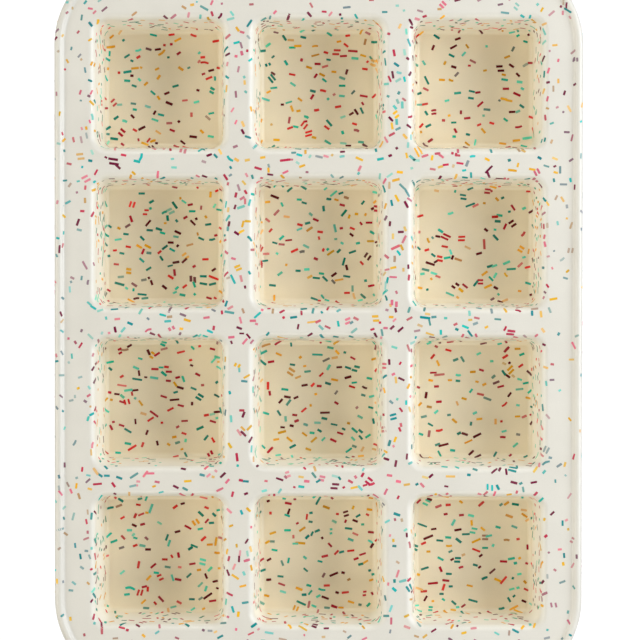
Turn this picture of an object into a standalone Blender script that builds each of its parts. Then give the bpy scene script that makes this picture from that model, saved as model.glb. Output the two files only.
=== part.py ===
"""Twelve-cup brownie bar pan: one drawn steel sheet with a wire rolled into its rim.

Frame: X runs across the three columns of cups, Y along the four rows, +Z is up.
The origin is under the middle of the pan, on the plane that the cup floors rest on.
"""

import math

import bmesh
import bpy

MM = 0.001

# ---- driving dimensions (metres) ----
PAN_WIDTH = 280.0 * MM  # X, outside the rolled rim
PAN_LENGTH = 390.0 * MM  # Y, outside the rolled rim
PAN_CORNER = 48.0 * MM  # plan radius of the rim's outer corners
SHEET = 0.8 * MM  # gauge of the steel

COLUMNS, ROWS = 3, 4
CUP_PITCH = 84.4 * MM
CUP_MOUTH = 76.0 * MM  # across the line where the lips leave the flat deck
CUP_CORNER = 10.5 * MM  # plan radius of that line
CUP_DEPTH = 30.0 * MM  # flat deck down to the cup floor
LIP_RADIUS = 4.0 * MM
FLOOR_RADIUS = 3.0 * MM
DRAFT = math.radians(5.0)

ROLL_RADIUS = 2.3 * MM  # outside of the rolled edge
ROLL_RISE = 2.0 * MM  # rolled edge above the flat deck
ROLL_FILLET = 2.0 * MM  # where the deck turns up into the roll
ROLL_END = math.radians(-170.0)  # the curl stops just short of the deck's underside

WIRE_RADIUS = 1.2 * MM  # leaves 0.3 mm inside the curl
WIRE_BUTT_GAP = 1.5 * MM  # between the two ends of the wire

# ---- levels ----
FLOOR_Z = SHEET
DECK_Z = FLOOR_Z + CUP_DEPTH
ROLL_Z = DECK_Z + ROLL_RISE - ROLL_RADIUS

# ---- facets ----
PAN_CORNER_STEPS = 9
CUP_CORNER_STEPS = 4
LIP_STEPS = 3
FLOOR_STEPS = 2
FILLET_STEPS = 2
ROLL_STEPS = (5, 3, 2)  # under the roll, up its outer side, over its top


def outline(half_x, half_y, radius, steps):
    """Stations round a rounded rectangle, anticlockwise: x, y and the inward direction."""
    stations = []
    for quarter, (sx, sy) in enumerate(((1, 1), (-1, 1), (-1, -1), (1, -1))):
        for step in range(steps + 1):
            a = 0.5 * math.pi * (quarter + step / steps)
            c, s = math.cos(a), math.sin(a)
            stations.append((sx * (half_x - radius) + radius * c, sy * (half_y - radius) + radius * s, -c, -s))
    return stations


def ring(bm, stations, inset, z, centre=(0.0, 0.0)):
    """One closed loop of vertices, moved in from the stations by inset."""
    return [bm.verts.new((centre[0] + x + nx * inset, centre[1] + y + ny * inset, z)) for x, y, nx, ny in stations]


def band(bm, outer, inner):
    """Quads between two rings, facing up where outer lies outside inner."""
    count = len(outer)
    for i in range(count):
        j = (i + 1) % count
        bm.faces.new((outer[i], outer[j], inner[j], inner[i]))


def loop_edges(bm, verts):
    return [bm.edges.get((a, b)) for a, b in zip(verts, verts[1:] + verts[:1])]


def cup_profile(depth):
    """Inset from the mouth line and height, from the deck over the lip, down the wall, to the floor.

    depth is how far under the sheet's upper face the profile runs.
    """
    turn = 0.5 * math.pi - DRAFT
    drop = CUP_DEPTH - (LIP_RADIUS + FLOOR_RADIUS) * (1 - math.cos(turn))
    flat = (LIP_RADIUS + FLOOR_RADIUS) * math.sin(turn) + drop * math.tan(DRAFT)
    lip, foot = LIP_RADIUS - depth, FLOOR_RADIUS + depth
    points = []
    for i in range(LIP_STEPS + 1):
        a = turn * i / LIP_STEPS
        points.append((lip * math.sin(a), DECK_Z - LIP_RADIUS + lip * math.cos(a)))
    for i in range(FLOOR_STEPS, -1, -1):
        a = turn * i / FLOOR_STEPS
        points.append((flat - foot * math.sin(a), FLOOR_Z + FLOOR_RADIUS - foot * math.cos(a)))
    return points


def rim_profile(depth):
    """Inset from the outermost edge and height, from the curl's free end round to the flat deck."""
    reach = ROLL_RADIUS + ROLL_FILLET
    across = math.sqrt(reach**2 - (reach - ROLL_RISE) ** 2)
    up = math.asin(across / reach)
    roll, fillet = ROLL_RADIUS - depth, ROLL_FILLET + depth
    corners = (ROLL_END, 0.0, 0.5 * math.pi, 0.5 * math.pi + up)
    turns = [ROLL_END]
    for start, end, steps in zip(corners, corners[1:], ROLL_STEPS):
        turns += [start + (end - start) * i / steps for i in range(1, steps + 1)]
    points = [(ROLL_RADIUS - roll * math.cos(a), ROLL_Z + roll * math.sin(a)) for a in turns]
    for i in range(FILLET_STEPS - 1, -1, -1):
        a = up * i / FILLET_STEPS
        points.append((ROLL_RADIUS + across - fillet * math.sin(a), DECK_Z + ROLL_FILLET - fillet * math.cos(a)))
    return points


def material(name, colour, roughness, metallic, coat=0.0):
    m = bpy.data.materials.new(name)
    m.use_nodes = True
    shader = m.node_tree.nodes["Principled BSDF"]
    shader.inputs["Base Color"].default_value = (*colour, 1.0)
    shader.inputs["Roughness"].default_value = roughness
    shader.inputs["Metallic"].default_value = metallic
    shader.inputs["Coat Weight"].default_value = coat
    m.diffuse_color = (*colour, 1.0)
    return m


def sheet_face(bm, depth):
    """One face of the whole sheet, facing up: rolled rim, flat deck and the twelve cups.

    Returns the loop of vertices along the curl's free end.
    """
    rim = outline(0.5 * PAN_WIDTH, 0.5 * PAN_LENGTH, PAN_CORNER, PAN_CORNER_STEPS)
    rings = [ring(bm, rim, inset, z) for inset, z in rim_profile(depth)]
    free_end = rings[0]
    for outer, inner in zip(rings, rings[1:]):
        band(bm, outer, inner)
    fill = loop_edges(bm, rings[-1])

    mouth = outline(0.5 * CUP_MOUTH, 0.5 * CUP_MOUTH, CUP_CORNER, CUP_CORNER_STEPS)
    for row in range(ROWS):
        for column in range(COLUMNS):
            centre = ((column - 0.5 * (COLUMNS - 1)) * CUP_PITCH, (row - 0.5 * (ROWS - 1)) * CUP_PITCH)
            rings = [ring(bm, mouth, inset, z, centre) for inset, z in cup_profile(depth)]
            for outer, inner in zip(rings, rings[1:]):
                band(bm, outer, inner)
            bm.faces.new(rings[-1])  # flat floor
            fill += loop_edges(bm, rings[0])
    bmesh.ops.triangle_fill(bm, use_beauty=True, use_dissolve=False, edges=fill, normal=(0, 0, 1))
    return free_end


def build_pan(parent):
    """The sheet's upper face and, one gauge below it, its underside, closed along the curl's free end."""
    bm = bmesh.new()
    upper_end = sheet_face(bm, 0.0)
    upper = set(bm.faces)
    lower_end = sheet_face(bm, SHEET)
    bmesh.ops.reverse_faces(bm, faces=[f for f in bm.faces if f not in upper])
    band(bm, lower_end, upper_end)
    bm.normal_update()

    mesh = bpy.data.meshes.new("pan_body")
    bm.to_mesh(mesh)
    bm.free()
    pan = bpy.data.objects.new("pan_body", mesh)
    bpy.context.scene.collection.objects.link(pan)
    pan.parent = parent
    mesh.materials.append(material("cream_ceramic_coated_steel", (0.84, 0.79, 0.66), 0.38, 0.0, 0.15))
    mesh.shade_smooth()
    mesh.set_sharp_from_angle(angle=math.radians(40.0))
    return pan


def build_wire(parent):
    """The reinforcing wire: one open loop that follows the middle of the curl."""
    inset = ROLL_RADIUS
    half_x, half_y = 0.5 * PAN_WIDTH - inset, 0.5 * PAN_LENGTH - inset
    path = [(x, y) for x, y, _, _ in outline(half_x, half_y, PAN_CORNER - inset, PAN_CORNER_STEPS)]
    path = [(half_x, 0.5 * WIRE_BUTT_GAP)] + path + [(half_x, -0.5 * WIRE_BUTT_GAP)]
    curve = bpy.data.curves.new("rim_wire", "CURVE")
    curve.dimensions = "3D"
    curve.bevel_depth = WIRE_RADIUS
    curve.bevel_resolution = 4
    curve.use_fill_caps = True
    spline = curve.splines.new("POLY")
    spline.points.add(len(path) - 1)
    for point, (x, y) in zip(spline.points, path):
        point.co = (x, y, 0.0, 1.0)
    wire = bpy.data.objects.new("rim_wire", curve)
    wire.location = (0.0, 0.0, ROLL_Z)
    bpy.context.scene.collection.objects.link(wire)
    wire.parent = parent
    curve.materials.append(material("bright_steel_wire", (0.60, 0.60, 0.61), 0.35, 1.0))
    return wire


def main():
    for old in list(bpy.data.objects):
        bpy.data.objects.remove(old, do_unlink=True)
    origin = bpy.data.objects.new("pan_origin", None)
    origin.empty_display_size = 0.05
    bpy.context.scene.collection.objects.link(origin)
    build_pan(origin)
    build_wire(origin)


main()
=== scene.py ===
import math

import bmesh
import bpy
import numpy as np
from mathutils import Matrix, Vector


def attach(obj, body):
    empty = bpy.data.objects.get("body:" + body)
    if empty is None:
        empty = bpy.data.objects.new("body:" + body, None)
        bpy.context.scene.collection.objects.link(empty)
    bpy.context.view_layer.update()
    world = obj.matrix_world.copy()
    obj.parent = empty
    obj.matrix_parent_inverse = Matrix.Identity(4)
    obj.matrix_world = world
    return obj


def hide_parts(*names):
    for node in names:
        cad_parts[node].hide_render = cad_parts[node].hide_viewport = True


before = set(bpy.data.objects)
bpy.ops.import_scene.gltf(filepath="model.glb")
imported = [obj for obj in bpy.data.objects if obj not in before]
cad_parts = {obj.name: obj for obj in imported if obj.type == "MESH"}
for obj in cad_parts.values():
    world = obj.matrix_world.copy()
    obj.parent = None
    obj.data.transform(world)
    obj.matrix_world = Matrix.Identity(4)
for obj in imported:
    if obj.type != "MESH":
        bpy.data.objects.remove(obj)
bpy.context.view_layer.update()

MM = 0.001
SEED = 905

# ---------------------------------------------------------------- sizes, in millimetres, as in the construction
PAN_X, PAN_Y, PAN_CORNER = 140.0, 195.0, 48.0
SHEET = 0.8
PITCH = 84.4
MOUTH, MOUTH_CORNER = 38.0, 10.5
DEPTH = 30.0
LIP, FOOT = 4.0, 3.0
DRAFT = math.radians(5.0)
ROLL, ROLL_RISE, FILLET = 2.3, 2.0, 2.0
ROLL_END = math.radians(-170.0)
FLOOR_Z = SHEET
DECK_Z = FLOOR_Z + DEPTH
ROLL_Z = DECK_Z + ROLL_RISE - ROLL
TURN = 0.5 * math.pi - DRAFT
DROP = DEPTH - (LIP + FOOT) * (1 - math.cos(TURN))
FLAT = (LIP + FOOT) * math.sin(TURN) + DROP * math.tan(DRAFT)
REACH = ROLL + FILLET
ACROSS = math.sqrt(REACH**2 - (REACH - ROLL_RISE) ** 2)
UP = math.asin(ACROSS / REACH)
CUPS = [((c - 1) * PITCH, (r - 1.5) * PITCH) for r in range(4) for c in range(3)]


# ---------------------------------------------------------------- camera: straight above the pan, a little off its middle
def make_camera():
    data = bpy.data.cameras.new("view")
    data.sensor_width = 36.0
    data.lens = 112.5
    data.clip_start, data.clip_end = 0.05, 20.0
    cam = bpy.data.objects.new("view", data)
    bpy.context.scene.collection.objects.link(cam)
    turn = (
        Matrix.Rotation(math.radians(0.064), 4, "Z")
        @ Matrix.Rotation(math.radians(-0.936), 4, "X")
        @ Matrix.Rotation(math.radians(0.426), 4, "Y")
    )
    cam.matrix_world = Matrix.Translation(Vector((8.8, 18.8, DECK_Z + 1061.0)) * MM) @ turn
    bpy.context.scene.camera = cam
    return cam


# ---------------------------------------------------------------- the sheet's shape
def outline(half_x, half_y, radius, steps, straight=1):
    """Stations round a rounded rectangle, anticlockwise: x, y and the inward direction."""
    stations = []
    corners = ((1, 1), (-1, 1), (-1, -1), (1, -1))
    for quarter, (sx, sy) in enumerate(corners):
        for step in range(steps + 1):
            a = 0.5 * math.pi * (quarter + step / steps)
            c, s = math.cos(a), math.sin(a)
            stations.append((sx * (half_x - radius) + radius * c, sy * (half_y - radius) + radius * s, -c, -s))
        nx, ny = corners[(quarter + 1) % 4]
        a = 0.5 * math.pi * (quarter + 1)
        x0, y0 = stations[-1][:2]
        x1 = nx * (half_x - radius) + radius * math.cos(a)
        y1 = ny * (half_y - radius) + radius * math.sin(a)
        for i in range(1, straight):
            t = i / straight
            stations.append((x0 + (x1 - x0) * t, y0 + (y1 - y0) * t, -math.cos(a), -math.sin(a)))
    return stations


def cup_profile(depth, lip_steps=10, wall_steps=6, foot_steps=8):
    """Inset, height and upward normal (along the inset, up) from the deck over the lip to the floor."""
    points = []
    for i in range(lip_steps + 1):
        a = TURN * i / lip_steps
        points.append(((LIP - depth) * math.sin(a), DECK_Z - LIP + (LIP - depth) * math.cos(a), math.sin(a), math.cos(a)))
    e0, z0 = points[-1][:2]
    e1 = FLAT - (FOOT + depth) * math.sin(TURN)
    z1 = FLOOR_Z + FOOT - (FOOT + depth) * math.cos(TURN)
    for i in range(1, wall_steps):
        t = i / wall_steps
        points.append((e0 + (e1 - e0) * t, z0 + (z1 - z0) * t, math.sin(TURN), math.cos(TURN)))
    for i in range(foot_steps, -1, -1):
        a = TURN * i / foot_steps
        points.append((FLAT - (FOOT + depth) * math.sin(a), FLOOR_Z + FOOT - (FOOT + depth) * math.cos(a), math.sin(a), math.cos(a)))
    return points


def rim_profile(depth, roll_steps=(14, 8, 6), fillet_steps=6):
    """Inset, height and normal from the curl's free end round to the flat deck."""
    corners = (ROLL_END, 0.0, 0.5 * math.pi, 0.5 * math.pi + UP)
    turns = [ROLL_END]
    for start, end, steps in zip(corners, corners[1:], roll_steps):
        turns += [start + (end - start) * i / steps for i in range(1, steps + 1)]
    points = [(ROLL - (ROLL - depth) * math.cos(a), ROLL_Z + (ROLL - depth) * math.sin(a), -math.cos(a), math.sin(a)) for a in turns]
    for i in range(fillet_steps - 1, -1, -1):
        a = UP * i / fillet_steps
        points.append((ROLL + ACROSS - (FILLET + depth) * math.sin(a), DECK_Z + FILLET - (FILLET + depth) * math.cos(a), math.sin(a), math.cos(a)))
    return points


def height_share(z):
    """0 on the deck and rim, 1 on a cup's floor."""
    return min(1.0, max(0.0, (DECK_Z - z) / DEPTH))


def bead_shade_share(z, up):
    """1 on the bead's outer side, 0 from its top inwards: how far the coat there is painted darker, a painted shade.
    """
    return min(1.0, max(0.0, (0.97 - up) / 0.5))


class Sheet:
    """Collects the vertices of the two faces of the sheet, with their true normals."""

    def __init__(self):
        self.bm = bmesh.new()
        self.normals, self.shares = [], []

    def ring(self, stations, point, side, centre=(0.0, 0.0)):
        inset, z, along, up = point
        # place: 0 on the underside; negative on the curl's outer side, where the coat's ramp paints shade; elsewhere
        # the height share, along which the ramp paints light and shade down the cups
        share = 0.0 if side < 0 else -bead_shade_share(z, up) if inset < ROLL and along < 0 else height_share(z)
        verts = []
        for x, y, nx, ny in stations:
            verts.append(self.bm.verts.new(((centre[0] + x + nx * inset) * MM, (centre[1] + y + ny * inset) * MM, z * MM)))
            self.normals.append((nx * along * side, ny * along * side, up * side))
            self.shares.append(share)
        return verts

    def band(self, outer, inner, side):
        n = len(outer)
        for i in range(n):
            j = (i + 1) % n
            quad = (outer[i], outer[j], inner[j], inner[i])
            self.bm.faces.new(quad if side > 0 else quad[::-1])

    def face(self, depth, side):
        rim = outline(PAN_X, PAN_Y, PAN_CORNER, 40, 12)
        rings = [self.ring(rim, p, side) for p in rim_profile(depth)]
        free_end = rings[0]
        for outer, inner in zip(rings, rings[1:]):
            self.band(outer, inner, side)
        fill = self.edges(rings[-1])
        mouth = outline(MOUTH, MOUTH, MOUTH_CORNER, 12, 5)
        for centre in CUPS:
            rings = [self.ring(mouth, p, side, centre) for p in cup_profile(depth)]
            for outer, inner in zip(rings, rings[1:]):
                self.band(outer, inner, side)
            floor = rings[-1]
            self.bm.faces.new(floor if side > 0 else floor[::-1])
            fill += self.edges(rings[0])
        made = bmesh.ops.triangle_fill(self.bm, use_beauty=True, edges=fill, normal=(0, 0, side))["geom"]
        wrong = [f for f in made if isinstance(f, bmesh.types.BMFace) and f.normal.z * side < 0]
        bmesh.ops.reverse_faces(self.bm, faces=wrong)
        return free_end

    def edges(self, verts):
        return [self.bm.edges.get((a, b)) for a, b in zip(verts, verts[1:] + verts[:1])]


def build_shell():
    sheet = Sheet()
    upper = sheet.face(0.0, 1)
    lower = sheet.face(SHEET, -1)
    sheet.band(lower, upper, 1)
    mesh = bpy.data.meshes.new("pan_shell")
    sheet.bm.to_mesh(mesh)
    sheet.bm.free()
    mesh.shade_smooth()
    mesh.set_sharp_from_angle(angle=math.radians(50.0))
    mesh.normals_split_custom_set_from_vertices([Vector(n).normalized() for n in sheet.normals])
    # place steers the coat's colour ramp, which paints shade on the curl's outer side and light and shade down the
    # cups
    share = mesh.attributes.new("place", "FLOAT", "POINT")
    share.data.foreach_set("value", np.array(sheet.shares, np.float32))
    pan = bpy.data.objects.new("pan_shell", mesh)
    bpy.context.scene.collection.objects.link(pan)
    return pan


# ---------------------------------------------------------------- nearest point on the sheet's upper face
def rounded_inset(x, y, half_x, half_y, radius):
    """How far inside a rounded rectangle a point lies, and the outward direction there."""
    dx, dy = np.abs(x) - (half_x - radius), np.abs(y) - (half_y - radius)
    ox, oy = np.maximum(dx, 0), np.maximum(dy, 0)
    out = np.hypot(ox, oy)
    sdf = out + np.minimum(np.maximum(dx, dy), 0) - radius
    corner = (dx > 0) & (dy > 0)
    gx = np.where(corner, ox / np.maximum(out, 1e-9), (dx >= dy).astype(float)) * np.where(x < 0, -1.0, 1.0)
    gy = np.where(corner, oy / np.maximum(out, 1e-9), (dx < dy).astype(float)) * np.where(y < 0, -1.0, 1.0)
    return -sdf, gx, gy


def nearest(cands, e, z):
    """The candidate (e, z, along, up) nearest to each point."""
    dist = np.stack([np.hypot(c[0] - e, c[1] - z) for c in cands])
    pick = dist.argmin(0)
    return [np.choose(pick, [c[k] for c in cands]) for k in range(4)]


def project(p):
    """Points of the upper face nearest to p, an array of x, y, z in millimetres, and the normals there."""
    x, y, z = p.T
    flat_up = (np.zeros_like(x), np.ones_like(x))
    # the rim
    d, gx, gy = rounded_inset(x, y, PAN_X, PAN_Y, PAN_CORNER)
    a = np.arctan2(z - ROLL_Z, ROLL - d)
    a = np.where(a < ROLL_END, a + 2 * math.pi, a).clip(ROLL_END, 0.5 * math.pi + UP)
    roll = (ROLL - ROLL * np.cos(a), ROLL_Z + ROLL * np.sin(a), -np.cos(a), np.sin(a))
    b = np.arctan2(ROLL + ACROSS - d, DECK_Z + FILLET - z).clip(0, UP)
    fillet = (ROLL + ACROSS - FILLET * np.sin(b), DECK_Z + FILLET - FILLET * np.cos(b), np.sin(b), np.cos(b))
    deck = (np.maximum(d, ROLL + ACROSS), np.full_like(d, DECK_Z), *flat_up)
    rim = nearest([roll, fillet, deck], d, z)
    on_rim = np.stack([x - gx * (rim[0] - d), y - gy * (rim[0] - d), rim[1], -gx * rim[2], -gy * rim[2], rim[3]], 1)
    # the cups and the deck round them
    cx = np.clip(np.round(x / PITCH), -1, 1) * PITCH
    cy = (np.clip(np.round(y / PITCH - 0.5), -2, 1) + 0.5) * PITCH
    e, hx, hy = rounded_inset(x - cx, y - cy, MOUTH, MOUTH, MOUTH_CORNER)
    deck = (np.minimum(e, 0), np.full_like(e, DECK_Z), *flat_up)
    a = np.arctan2(e, z - (DECK_Z - LIP)).clip(0, TURN)
    lip = (LIP * np.sin(a), DECK_Z - LIP + LIP * np.cos(a), np.sin(a), np.cos(a))
    w0 = np.array([LIP * math.sin(TURN), DECK_Z - LIP + LIP * math.cos(TURN)])
    w1 = np.array([FLAT - FOOT * math.sin(TURN), FLOOR_Z + FOOT - FOOT * math.cos(TURN)])
    along = w1 - w0
    t = (((e - w0[0]) * along[0] + (z - w0[1]) * along[1]) / (along @ along)).clip(0, 1)
    wall = (w0[0] + t * along[0], w0[1] + t * along[1], np.full_like(e, math.sin(TURN)), np.full_like(e, math.cos(TURN)))
    b = np.arctan2(FLAT - e, FLOOR_Z + FOOT - z).clip(0, TURN)
    foot = (FLAT - FOOT * np.sin(b), FLOOR_Z + FOOT - FOOT * np.cos(b), np.sin(b), np.cos(b))
    floor = (np.maximum(e, FLAT), np.full_like(e, FLOOR_Z), *flat_up)
    cup = nearest([deck, lip, wall, foot, floor], e, z)
    on_cup = np.stack([x - hx * (cup[0] - e), y - hy * (cup[0] - e), cup[1], -hx * cup[2], -hy * cup[2], cup[3]], 1)
    got = np.where((d < 10.0)[:, None], on_rim, on_cup)
    n = got[:, 3:]
    return got[:, :3], n / np.linalg.norm(n, axis=1, keepdims=True)


# ---------------------------------------------------------------- the scattered dashes of the print
# Linear colours: maroon, crimson, coral, amber, deep teal, green, mint
# One set of print colours in two lightings: the deck copies are paler and greyer, a painted sheen for the deck's
# gloss, and the cup copies purer, for the shade inside the cups
IN_CUP_SHADE_TUNED = np.array([(0.120, 0.001, 0.003), (0.45, 0.005, 0.020), (0.70, 0.022, 0.014), (0.82, 0.38, 0.002), (0.0, 0.22, 0.15), (0.0, 0.44, 0.28), (0.10, 0.64, 0.43)])
ON_DECK_SHEEN_PAINTED = np.array([(0.17, 0.003, 0.042), (0.50, 0.020, 0.070), (0.67, 0.15, 0.22), (0.78, 0.43, 0.015), (0.0, 0.25, 0.26), (0.0, 0.44, 0.41), (0.18, 0.57, 0.50)])
MAY_FADE = np.array([0.1, 0.5, 0.6, 0.7, 0.4, 0.5, 0.6])
CUP_SHARES = np.array([0.12, 0.13, 0.14, 0.20, 0.17, 0.13, 0.11])
DECK_SHARES = np.array([0.13, 0.11, 0.17, 0.20, 0.16, 0.12, 0.11])
DENSITY = 0.0205  # dashes a square millimetre
RISE = 0.03  # the print stands this proud of the coating, and reaches as far into it


def unit(v):
    return v / np.maximum(np.linalg.norm(v, axis=-1, keepdims=True), 1e-12)


def crowding(p, inset):
    """How closely the dashes lie, by place: closer on the webs and walls than on the wide flanges."""
    in_block = (np.abs(p[:, 0]) < 125.0) & (np.abs(p[:, 1]) < 167.0)
    wall = (p[:, 2] < DECK_Z - 0.8 * LIP) & (p[:, 2] > FLOOR_Z + FOOT) & (inset > 10.0)
    floor = (p[:, 2] <= FLOOR_Z + FOOT) & (inset > 10.0)
    return np.where(wall, 1.25, np.where(floor, 1.13, np.where(in_block, 1.36, 0.7)))


def scatter(rng, shell):
    """Centres spread over the upper face by area, none too close to another."""
    me = shell.data
    me.calc_loop_triangles()
    co = np.zeros(len(me.vertices) * 3)
    me.vertices.foreach_get("co", co)
    co = co.reshape(-1, 3) / MM
    tri = np.zeros(len(me.loop_triangles) * 3, int)
    me.loop_triangles.foreach_get("vertices", tri)
    t = co[tri.reshape(-1, 3)]
    cross = np.cross(t[:, 1] - t[:, 0], t[:, 2] - t[:, 0])
    area = 0.5 * np.linalg.norm(cross, axis=1)
    mid = t.mean(1)
    on, n = project(mid)
    upper = (np.linalg.norm(on - mid, axis=1) < 0.12) & ((unit(cross) * n).sum(1) > 0.5)
    inset = rounded_inset(mid[:, 0], mid[:, 1], PAN_X, PAN_Y, PAN_CORNER)[0]
    upper &= ~((inset < 4.5) & (mid[:, 2] < ROLL_Z - 1.2))  # the print stops low on the curl's outer side
    t, area = t[upper], area[upper]
    area *= crowding(mid[upper], inset[upper])
    total = area.sum()
    wanted = int(total * DENSITY)
    count = wanted * 2
    pick = rng.choice(len(area), count, p=area / total)
    u, v = rng.random((2, count))
    flip = u + v > 1
    u, v = np.where(flip, 1 - u, u), np.where(flip, 1 - v, v)
    p = t[pick, 0] + u[:, None] * (t[pick, 1] - t[pick, 0]) + v[:, None] * (t[pick, 2] - t[pick, 0])
    p = project(p)[0]
    room = rng.uniform(2.1, 3.7, count)
    grid, kept = {}, []
    for i in range(count):
        key = tuple((p[i] // 4.0).astype(int))
        near = [k for dx in (-1, 0, 1) for dy in (-1, 0, 1) for dz in (-1, 0, 1) for k in grid.get((key[0] + dx, key[1] + dy, key[2] + dz), ())]
        if all(np.linalg.norm(p[i] - p[k]) > min(room[i], room[k]) for k in near):
            grid.setdefault(key, []).append(i)
            kept.append(i)
        if len(kept) >= wanted:
            break
    return p[kept]


def lozenges(verts, normals, colours, cells, span, sections, rows, rise):
    """Closed thin solids from a grid of points on the surface: dash, section along it, row across it."""
    v = verts[:, sections][:, :, rows]
    n = normals[:, sections][:, :, rows]
    count, m, r = v.shape[:3]
    v, n = v.transpose(0, 2, 1, 3), n.transpose(0, 2, 1, 3)  # dash, row, section
    out = n * rise[:, None, None, None]
    both = np.stack([v + out, v - out], 1).reshape(count, -1, 3)
    shade = np.stack([n, n], 1).reshape(count, -1, 3)
    at = lambda level, row, section: level * r * m + row * m + section
    quads = []
    for j in range(m - 1):
        for k in range(r - 1):
            quads.append((at(0, k, j), at(0, k + 1, j), at(0, k + 1, j + 1), at(0, k, j + 1)))
            quads.append((at(1, k, j), at(1, k, j + 1), at(1, k + 1, j + 1), at(1, k + 1, j)))
        quads.append((at(0, 0, j), at(0, 0, j + 1), at(1, 0, j + 1), at(1, 0, j)))
        quads.append((at(0, r - 1, j), at(1, r - 1, j), at(1, r - 1, j + 1), at(0, r - 1, j + 1)))
    for k in range(r - 1):
        quads.append((at(0, k, 0), at(1, k, 0), at(1, k + 1, 0), at(0, k + 1, 0)))
        quads.append((at(0, k, m - 1), at(0, k + 1, m - 1), at(1, k + 1, m - 1), at(1, k, m - 1)))
    faces = (np.array(quads)[None] + (np.arange(count) * 2 * r * m)[:, None, None]).reshape(-1, 4)
    along, across = np.array(sections) / 3.0 - 1.0, 1.0 - np.array(rows)
    uv = np.stack([np.tile(along, 2 * r), np.concatenate([np.repeat(across * k, m) for k in (0.8, 0.6)])], 1)
    uv = cells[:, None, :] + uv[None] * span
    return both.reshape(-1, 3), faces, shade.reshape(-1, 3), np.repeat(colours, 2 * r * m, axis=0), uv.reshape(-1, 2)


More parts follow.
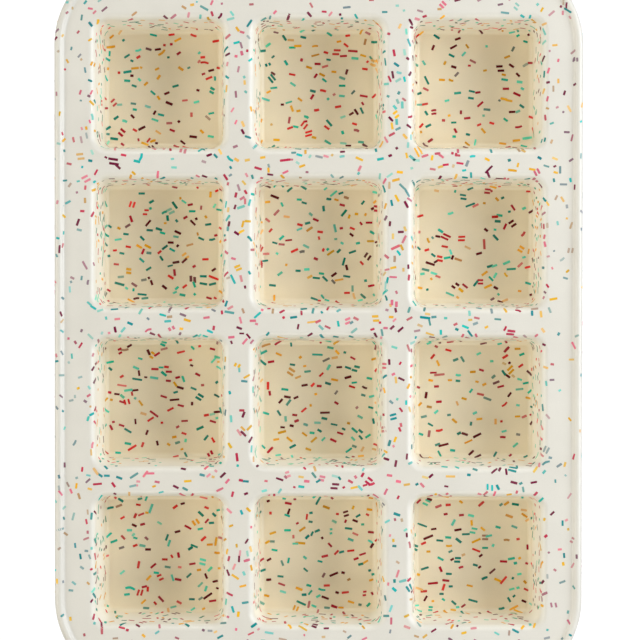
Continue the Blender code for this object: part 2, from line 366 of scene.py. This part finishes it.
def build_print(shell):
    """Every dash is its own very thin closed solid that follows the sheet's surface."""
    rng = np.random.default_rng(SEED)
    centre, normal = project(scatter(rng, shell))
    count = len(centre)
    inset = rounded_inset(centre[:, 0], centre[:, 1], PAN_X, PAN_Y, PAN_CORNER)[0]
    share = np.array([height_share(z) for z in centre[:, 2]])
    # direction: mostly across the pan in the cups and on the webs between rows, any way elsewhere
    row_web = np.abs(np.abs(centre[:, 1] / PITCH % 1.0 - 0.5) - 0.5) < 0.06
    across = (share > 0.5) | (row_web & (np.abs(centre[:, 0]) < 122.0))
    upright = ~across & (rng.random(count) < 0.28)
    angle = np.where(
        across & (rng.random(count) < 0.66),
        rng.normal(0.0, math.radians(25), count),
        np.where(upright, rng.normal(0.5 * math.pi, math.radians(22), count), rng.uniform(-0.5 * math.pi, 0.5 * math.pi, count)),
    )
    base = np.array([1.0, 0.0, 0.0]) - normal * normal[:, :1]
    level = np.cross(normal, np.array([0.0, 0.0, 1.0]))
    steep = np.abs(normal[:, 2]) < 0.6
    base = unit(np.where(steep[:, None], level, base))
    angle = np.where(steep, rng.uniform(-0.5 * math.pi, 0.5 * math.pi, count), angle)
    heading = base * np.cos(angle)[:, None] + np.cross(normal, base) * np.sin(angle)[:, None]
    kind = rng.random(count)
    length = rng.normal(3.2, 0.55, count).clip(2.0, 4.6)
    length = np.where(kind < 0.14, rng.uniform(1.3, 2.0, count), length)
    length = np.where(kind > 0.95, rng.uniform(4.4, 5.8, count), length)
    width = rng.normal(1.25, 0.10, count).clip(1.0, 1.5)
    # those on the wide outer flanges are smaller
    flange = (share < 0.1) & ((np.abs(centre[:, 0]) > 121.0) | (np.abs(centre[:, 1]) > 164.0))
    length *= np.where(flange, rng.uniform(0.6, 1.0, count), 1.0)
    width *= np.where(flange, 0.92, 1.0)
    bend = np.where(rng.random(count) < 0.06, rng.uniform(0.08, 0.20, count) * np.where(rng.random(count) < 0.5, -1, 1), 0.0)  # radians a millimetre
    pick = rng.random(count)
    colour = np.where(share > 0.1, np.searchsorted(np.cumsum(CUP_SHARES), pick), np.searchsorted(np.cumsum(DECK_SHARES), pick)).clip(0, 6)
    # some are mixed part way to the coating's colour and look paler, most often on the outer flanges and least in
    # the cups
    fade = np.where(rng.random(count) < np.where(share > 0.1, 0.15, np.where(flange, 0.6, 0.38)), rng.uniform(0.15, 0.50, count), rng.uniform(0.0, 0.08, count))
    fade *= MAY_FADE[colour]
    # and some are dull, most of all on the outer flanges
    dull = np.where(rng.random(count) < np.where(share > 0.1, 0.06, np.where(flange, 0.46, 0.11)), rng.uniform(0.3, 0.8, count), 0.0)
    tint = rng.normal(1.0, 0.10, (count, 1)) * (1 + rng.normal(0, 0.04, (count, 3)))

    # some dashes have a twin beside them
    twin = np.flatnonzero((rng.random(count) < 0.05) & (kind > 0.10))
    beside = np.cross(normal[twin], heading[twin]) * np.where(rng.random(len(twin)) < 0.5, -1, 1)[:, None]
    slip = heading[twin] * rng.uniform(-0.9, 0.9, len(twin))[:, None]
    t_centre, t_normal = project(centre[twin] + beside * rng.uniform(1.8, 2.4, len(twin))[:, None] + slip)
    centre, normal = np.vstack([centre, t_centre]), np.vstack([normal, t_normal])
    heading = np.vstack([heading, heading[twin]])
    heading = unit(heading - normal * (heading * normal).sum(1, keepdims=True))
    length, width, bend, colour, fade, dull, share = (np.concatenate([a, a[twin]]) for a in (length, width, bend, colour, fade, dull, share))
    tint = np.vstack([tint, tint[twin]])
    count = len(centre)

    # walk from each centre both ways along the surface
    marks = (0.0, 0.45, 0.86, 1.0)
    axis, heads, norms = ([None] * 7 for _ in range(3))
    axis[3], heads[3], norms[3] = centre, heading, normal
    for sign in (1, -1):
        p, h, n = centre, heading, normal
        for k in (1, 2, 3):
            stride = 0.5 * length * (marks[k] - marks[k - 1])
            turn = bend * stride * sign
            h = unit(h * np.cos(turn)[:, None] + np.cross(n, h) * np.sin(turn)[:, None])
            q, m = project(p + h * (sign * stride)[:, None])
            h = unit((q - p) * sign)
            h = unit(h - m * (h * m).sum(1, keepdims=True))
            p, n = q, m
            axis[3 + sign * k], heads[3 + sign * k], norms[3 + sign * k] = p, h, n
    axis, heads, norms = (np.stack(a, 1) for a in (axis, heads, norms))
    sides = np.cross(norms, heads)
    half = 0.5 * width[:, None] * np.array([0.88, 1.0, 1.0, 1.0, 1.0, 1.0, 0.88])
    rough = 1 + rng.normal(0, 0.035, (count, 7, 2))
    verts, normals = np.stack([axis] * 3, 2), np.stack([norms] * 3, 2)
    for row, sign in ((0, 1), (2, -1)):
        edge = axis + sides * (sign * half * rough[:, :, row // 2])[:, :, None]
        on, n = project(edge.reshape(-1, 3))
        verts[:, :, row], normals[:, :, row] = on.reshape(count, 7, 3), n.reshape(count, 7, 3)

    glaze = np.array([0.80, 0.74, 0.62])
    # blending from the deck copies to the cup copies over the lip, for the dashes and their dull colour alike, is
    # painted light and shade, not a change in the print
    cup_shade_mix = np.minimum(1.0, share * 4.0)[:, None]
    rgb = (ON_DECK_SHEEN_PAINTED[colour] * (1 - cup_shade_mix) + IN_CUP_SHADE_TUNED[colour] * cup_shade_mix) * tint
    dusk = np.array([0.29, 0.23, 0.27]) * (1 - cup_shade_mix) + np.array([0.28, 0.14, 0.13]) * cup_shade_mix
    rgb = rgb * (1 - dull[:, None]) + dusk * dull[:, None]
    rgb = rgb * (1 - fade[:, None]) + glaze * fade[:, None]
    rgba = np.hstack([rgb.clip(0, 1), np.ones((count, 1))])
    side = math.ceil(math.sqrt(count))
    order = np.arange(count)
    cells = np.stack([(order % side + 0.5) / side, (order // side + 0.5) / side], 1)
    lift = 0.85 + 0.4 * (order * 0.6180339887 % 1.0)  # no two lie at quite the same height where they cross

    # plane dashes need few faces, and those over a lip, foot or bead need enough to follow it
    plane = np.einsum("ijkl,il->ijk", normals, normal).min((1, 2)) > 0.99995
    sag = np.abs(((verts[:, :, 0] + verts[:, :, 2]) * 0.5 - axis) * norms).sum(2).max(1) > 0.008
    ends, five = [0, 1, 5, 6], [0, 2, 3, 4, 6]
    kinds = ((plane & (bend == 0), ends, [0, 2], RISE), (plane & (bend != 0), five, [0, 2], RISE), (~plane & ~sag, five, [0, 2], 1.5 * RISE), (~plane & sag, five, [0, 1, 2], 1.5 * RISE))
    parts, base_index = [], 0
    for chosen, sections, rows, rise in kinds:
        v, f, n, c, uv = lozenges(verts[chosen], normals[chosen], rgba[chosen], cells[chosen], 0.36 / side, sections, rows, rise * lift[chosen])
        parts.append((v, f + base_index, n, c, uv))
        base_index += len(v)
    v, f, n, c, uv = (np.concatenate(a) for a in zip(*parts))
    mesh = bpy.data.meshes.new("confetti_print")
    mesh.from_pydata((v * MM).tolist(), [], f.tolist())
    mesh.shade_smooth()
    mesh.normals_split_custom_set_from_vertices(n.tolist())
    mesh.color_attributes.new("dash_colour", "FLOAT_COLOR", "POINT").data.foreach_set("color", c.astype(np.float32).ravel())
    loops = np.zeros(len(mesh.loops), int)
    mesh.loops.foreach_get("vertex_index", loops)
    mesh.uv_layers.new(name="OFBake").uv.foreach_set("vector", uv[loops].astype(np.float32).ravel())
    made = bpy.data.objects.new("confetti_print", mesh)
    bpy.context.scene.collection.objects.link(made)
    return made


# ---------------------------------------------------------------- materials
def new_material(name):
    m = bpy.data.materials.new(name)
    m.use_nodes = True
    m.node_tree.nodes.clear()
    out = m.node_tree.nodes.new("ShaderNodeOutputMaterial")
    shader = m.node_tree.nodes.new("ShaderNodeBsdfPrincipled")
    m.node_tree.links.new(shader.outputs["BSDF"], out.inputs["Surface"])
    return m, m.node_tree, shader


def noise(tree, coords, scale, detail=3.0, rough=0.5):
    n = tree.nodes.new("ShaderNodeTexNoise")
    n.inputs["Scale"].default_value = scale
    n.inputs["Detail"].default_value = detail
    n.inputs["Roughness"].default_value = rough
    tree.links.new(coords, n.inputs["Vector"])
    return n.outputs["Fac"]


def remap(tree, value, low, high, from_low=0.0, from_high=1.0):
    n = tree.nodes.new("ShaderNodeMapRange")
    n.inputs["From Min"].default_value, n.inputs["From Max"].default_value = from_low, from_high
    n.inputs["To Min"].default_value, n.inputs["To Max"].default_value = low, high
    tree.links.new(value, n.inputs["Value"])
    return n.outputs["Result"]


def mix(tree, kind, fac, a, b):
    n = tree.nodes.new("ShaderNodeMix")
    n.data_type, n.blend_type = "RGBA", kind
    for socket, value in (("Factor", fac), ("A", a), ("B", b)):
        sock = [s for s in n.inputs if s.name == socket and s.enabled][0]
        if isinstance(value, (float, int)):
            sock.default_value = value
        elif isinstance(value, tuple):
            sock.default_value = value
        else:
            tree.links.new(value, sock)
    return [s for s in n.outputs if s.enabled][0]


def grey(tree, value):
    n = tree.nodes.new("ShaderNodeCombineColor")
    for s in ("Red", "Green", "Blue"):
        tree.links.new(value, n.inputs[s])
    return n.outputs["Color"]


def coat_surface(tree, shader, colour, clear=0.6):
    """The satin ceramic coating: faint mottling, fine grain, orange peel and a slow wave in the sheet."""
    coords = tree.nodes.new("ShaderNodeTexCoord").outputs["Object"]
    mottle = noise(tree, coords, 55.0, 3.0)
    grain = noise(tree, coords, 1400.0, 2.0)
    tone = mix(tree, "MULTIPLY", 1.0, colour, grey(tree, remap(tree, mottle, 0.975, 1.02, 0.3, 0.7)))
    tone = mix(tree, "MULTIPLY", 1.0, tone, grey(tree, remap(tree, grain, 0.985, 1.01, 0.3, 0.7)))
    tree.links.new(tone, shader.inputs["Base Color"])
    gloss = noise(tree, coords, 120.0, 4.0, 0.6)
    tree.links.new(remap(tree, gloss, 0.38, 0.48, 0.3, 0.7), shader.inputs["Roughness"])
    peel = tree.nodes.new("ShaderNodeBump")
    peel.inputs["Strength"].default_value = 0.25
    peel.inputs["Distance"].default_value = 0.00006
    tree.links.new(noise(tree, coords, 620.0, 2.0), peel.inputs["Height"])
    wave = tree.nodes.new("ShaderNodeBump")
    wave.inputs["Strength"].default_value = 0.5
    wave.inputs["Distance"].default_value = 0.0006
    tree.links.new(noise(tree, coords, 26.0, 1.0), wave.inputs["Height"])
    tree.links.new(wave.outputs["Normal"], peel.inputs["Normal"])
    tree.links.new(peel.outputs["Normal"], shader.inputs["Normal"])
    shader.inputs["Coat Weight"].default_value = clear
    shader.inputs["Coat Roughness"].default_value = 0.42


def enamel_material():
    m, tree, shader = new_material("cream_ceramic_coat")
    share = tree.nodes.new("ShaderNodeAttribute")
    share.attribute_name = "place"
    ramp = tree.nodes.new("ShaderNodeValToRGB")
    # The coating is one cream; this ramp paints light and shade onto it by place: the curl's outer side darker
    # (painted shade), the lips and upper walls paler than the deck (painted highlight), the walls and floors
    # yellower towards the floor (painted bounce light inside the cups), and the crease at the foot darker (painted
    # shade).
    stops = (
        (0.0, (0.50, 0.48, 0.42)),
        (0.5, (0.711, 0.686, 0.614)),
        (0.505, (0.724, 0.698, 0.616)),
        (0.515, (0.750, 0.724, 0.633)),
        (0.54, (0.815, 0.788, 0.693)),
        (0.60, (0.875, 0.848, 0.760)),
        (0.75, (0.875, 0.842, 0.742)),
        (0.90, (0.865, 0.815, 0.685)),
        (0.96, (0.845, 0.773, 0.608)),
        # 0.975 to 0.997: a darker band in the crease at the foot, painted shade
        (0.975, (0.825, 0.737, 0.552)),
        (0.992, (0.79, 0.69, 0.49)),
        (0.997, (0.83, 0.722, 0.50)),
        (1.0, (0.885, 0.767, 0.548)),
    )
    for i, (position, colour) in enumerate(stops):
        stop = ramp.color_ramp.elements[i] if i < 2 else ramp.color_ramp.elements.new(position)
        stop.position, stop.color = position, (*colour, 1.0)
    tree.links.new(remap(tree, share.outputs["Fac"], 0.0, 1.0, -1.0, 1.0), ramp.inputs["Fac"])
    coat_surface(tree, shader, ramp.outputs["Color"])
    return m


def print_material():
    m, tree, shader = new_material("confetti_enamel")
    dash = tree.nodes.new("ShaderNodeAttribute")
    dash.attribute_name = "dash_colour"
    coat_surface(tree, shader, dash.outputs["Color"], clear=0.0)
    shader.inputs["Specular IOR Level"].default_value = 0.25
    return m


def wire_material():
    m, tree, shader = new_material("drawn_steel_wire")
    coords = tree.nodes.new("ShaderNodeTexCoord").outputs["Object"]
    streak = noise(tree, coords, 900.0, 4.0, 0.7)
    colour = mix(tree, "MIX", streak, (0.42, 0.42, 0.43, 1.0), (0.62, 0.62, 0.64, 1.0))
    tree.links.new(colour, shader.inputs["Base Color"])
    tree.links.new(remap(tree, streak, 0.28, 0.48), shader.inputs["Roughness"])
    shader.inputs["Metallic"].default_value = 1.0
    return m


# ---------------------------------------------------------------- floor and light
def build_floor():
    bm = bmesh.new()
    size = 6.0
    bmesh.ops.create_grid(bm, x_segments=8, y_segments=8, size=size)
    mesh = bpy.data.meshes.new("floor")
    bm.to_mesh(mesh)
    bm.free()
    floor = bpy.data.objects.new("floor", mesh)
    floor.location.z = -0.0002
    bpy.context.scene.collection.objects.link(floor)
    m, tree, shader = new_material("floor_paper")
    coords = tree.nodes.new("ShaderNodeTexCoord").outputs["Object"]
    tree.links.new(mix(tree, "MIX", noise(tree, coords, 3.0), (0.10, 0.10, 0.10, 1), (0.12, 0.12, 0.12, 1)), shader.inputs["Base Color"])
    shader.inputs["Roughness"].default_value = 0.9
    shader.inputs["Emission Color"].default_value = (1.0, 1.0, 1.0, 1.0)
    shader.inputs["Emission Strength"].default_value = 0.97
    mesh.materials.append(m)
    return floor


def softbox(name, azimuth, elevation, distance, width, height, power, colour=(1.0, 1.0, 1.0), aim=(0.0, 0.0, 0.02)):
    """An area light on a sphere round the pan. Azimuth 0 is +X, 90 is +Y, in degrees."""
    data = bpy.data.lights.new(name, "AREA")
    data.shape = "RECTANGLE"
    data.size, data.size_y = width, height
    data.energy = power
    data.color = colour
    lamp = bpy.data.objects.new(name, data)
    a, e = math.radians(azimuth), math.radians(elevation)
    at = Vector((math.cos(a) * math.cos(e), math.sin(a) * math.cos(e), math.sin(e))) * distance
    lamp.location = Vector(aim) + at
    lamp.rotation_mode = "QUATERNION"
    lamp.rotation_quaternion = (-at).to_track_quat("-Z", "Y")
    bpy.context.scene.collection.objects.link(lamp)
    return lamp


def light_scene():
    world = bpy.data.worlds.new("studio")
    world.use_nodes = True
    background = world.node_tree.nodes["Background"]
    background.inputs["Color"].default_value = (1.0, 1.0, 1.0, 1.0)
    background.inputs["Strength"].default_value = 0.04
    bpy.context.scene.world = world
    softbox("key_right", 9, 28, 1.4, 1.0, 0.75, 16.2, (0.953, 1.0, 1.072))
    softbox("strip_right", 0, 40, 0.52, 1.0, 0.12, 0.44)
    softbox("fill_left", 180, 27, 1.3, 0.9, 0.6, 4.6, (1.014, 1.0, 0.953))
    softbox("fill_left_far", 180, 27, 2.6, 1.8, 1.2, 17.4, (1.016, 1.0, 0.947))
    softbox("fill_left_high", 180, 46, 1.4, 0.9, 0.5, 1.55, (1.12, 1.0, 0.74))
    softbox("back", 90, 38, 1.4, 0.9, 0.6, 5.4, (1.005, 1.0, 0.985))
    softbox("back_low", 90, 27, 1.3, 0.9, 0.5, 1.7)
    softbox("front", 270, 38, 1.4, 0.9, 0.6, 6.57, (1.026, 1.0, 0.942))
    view = bpy.context.scene.view_settings
    view.view_transform = "Standard"
    view.look = "None"
    view.exposure = 0.0
    view.gamma = 1.0


# ---------------------------------------------------------------- put together
make_camera()
shell = build_shell()
shell.data.materials.append(enamel_material())
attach(shell, "root")
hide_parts("pan_body")

prints = build_print(shell)
prints.data.materials.append(print_material())
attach(prints, "root")

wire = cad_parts["rim_wire"]
wire.data.materials.clear()
wire.data.materials.append(wire_material())

build_floor()
light_scene()
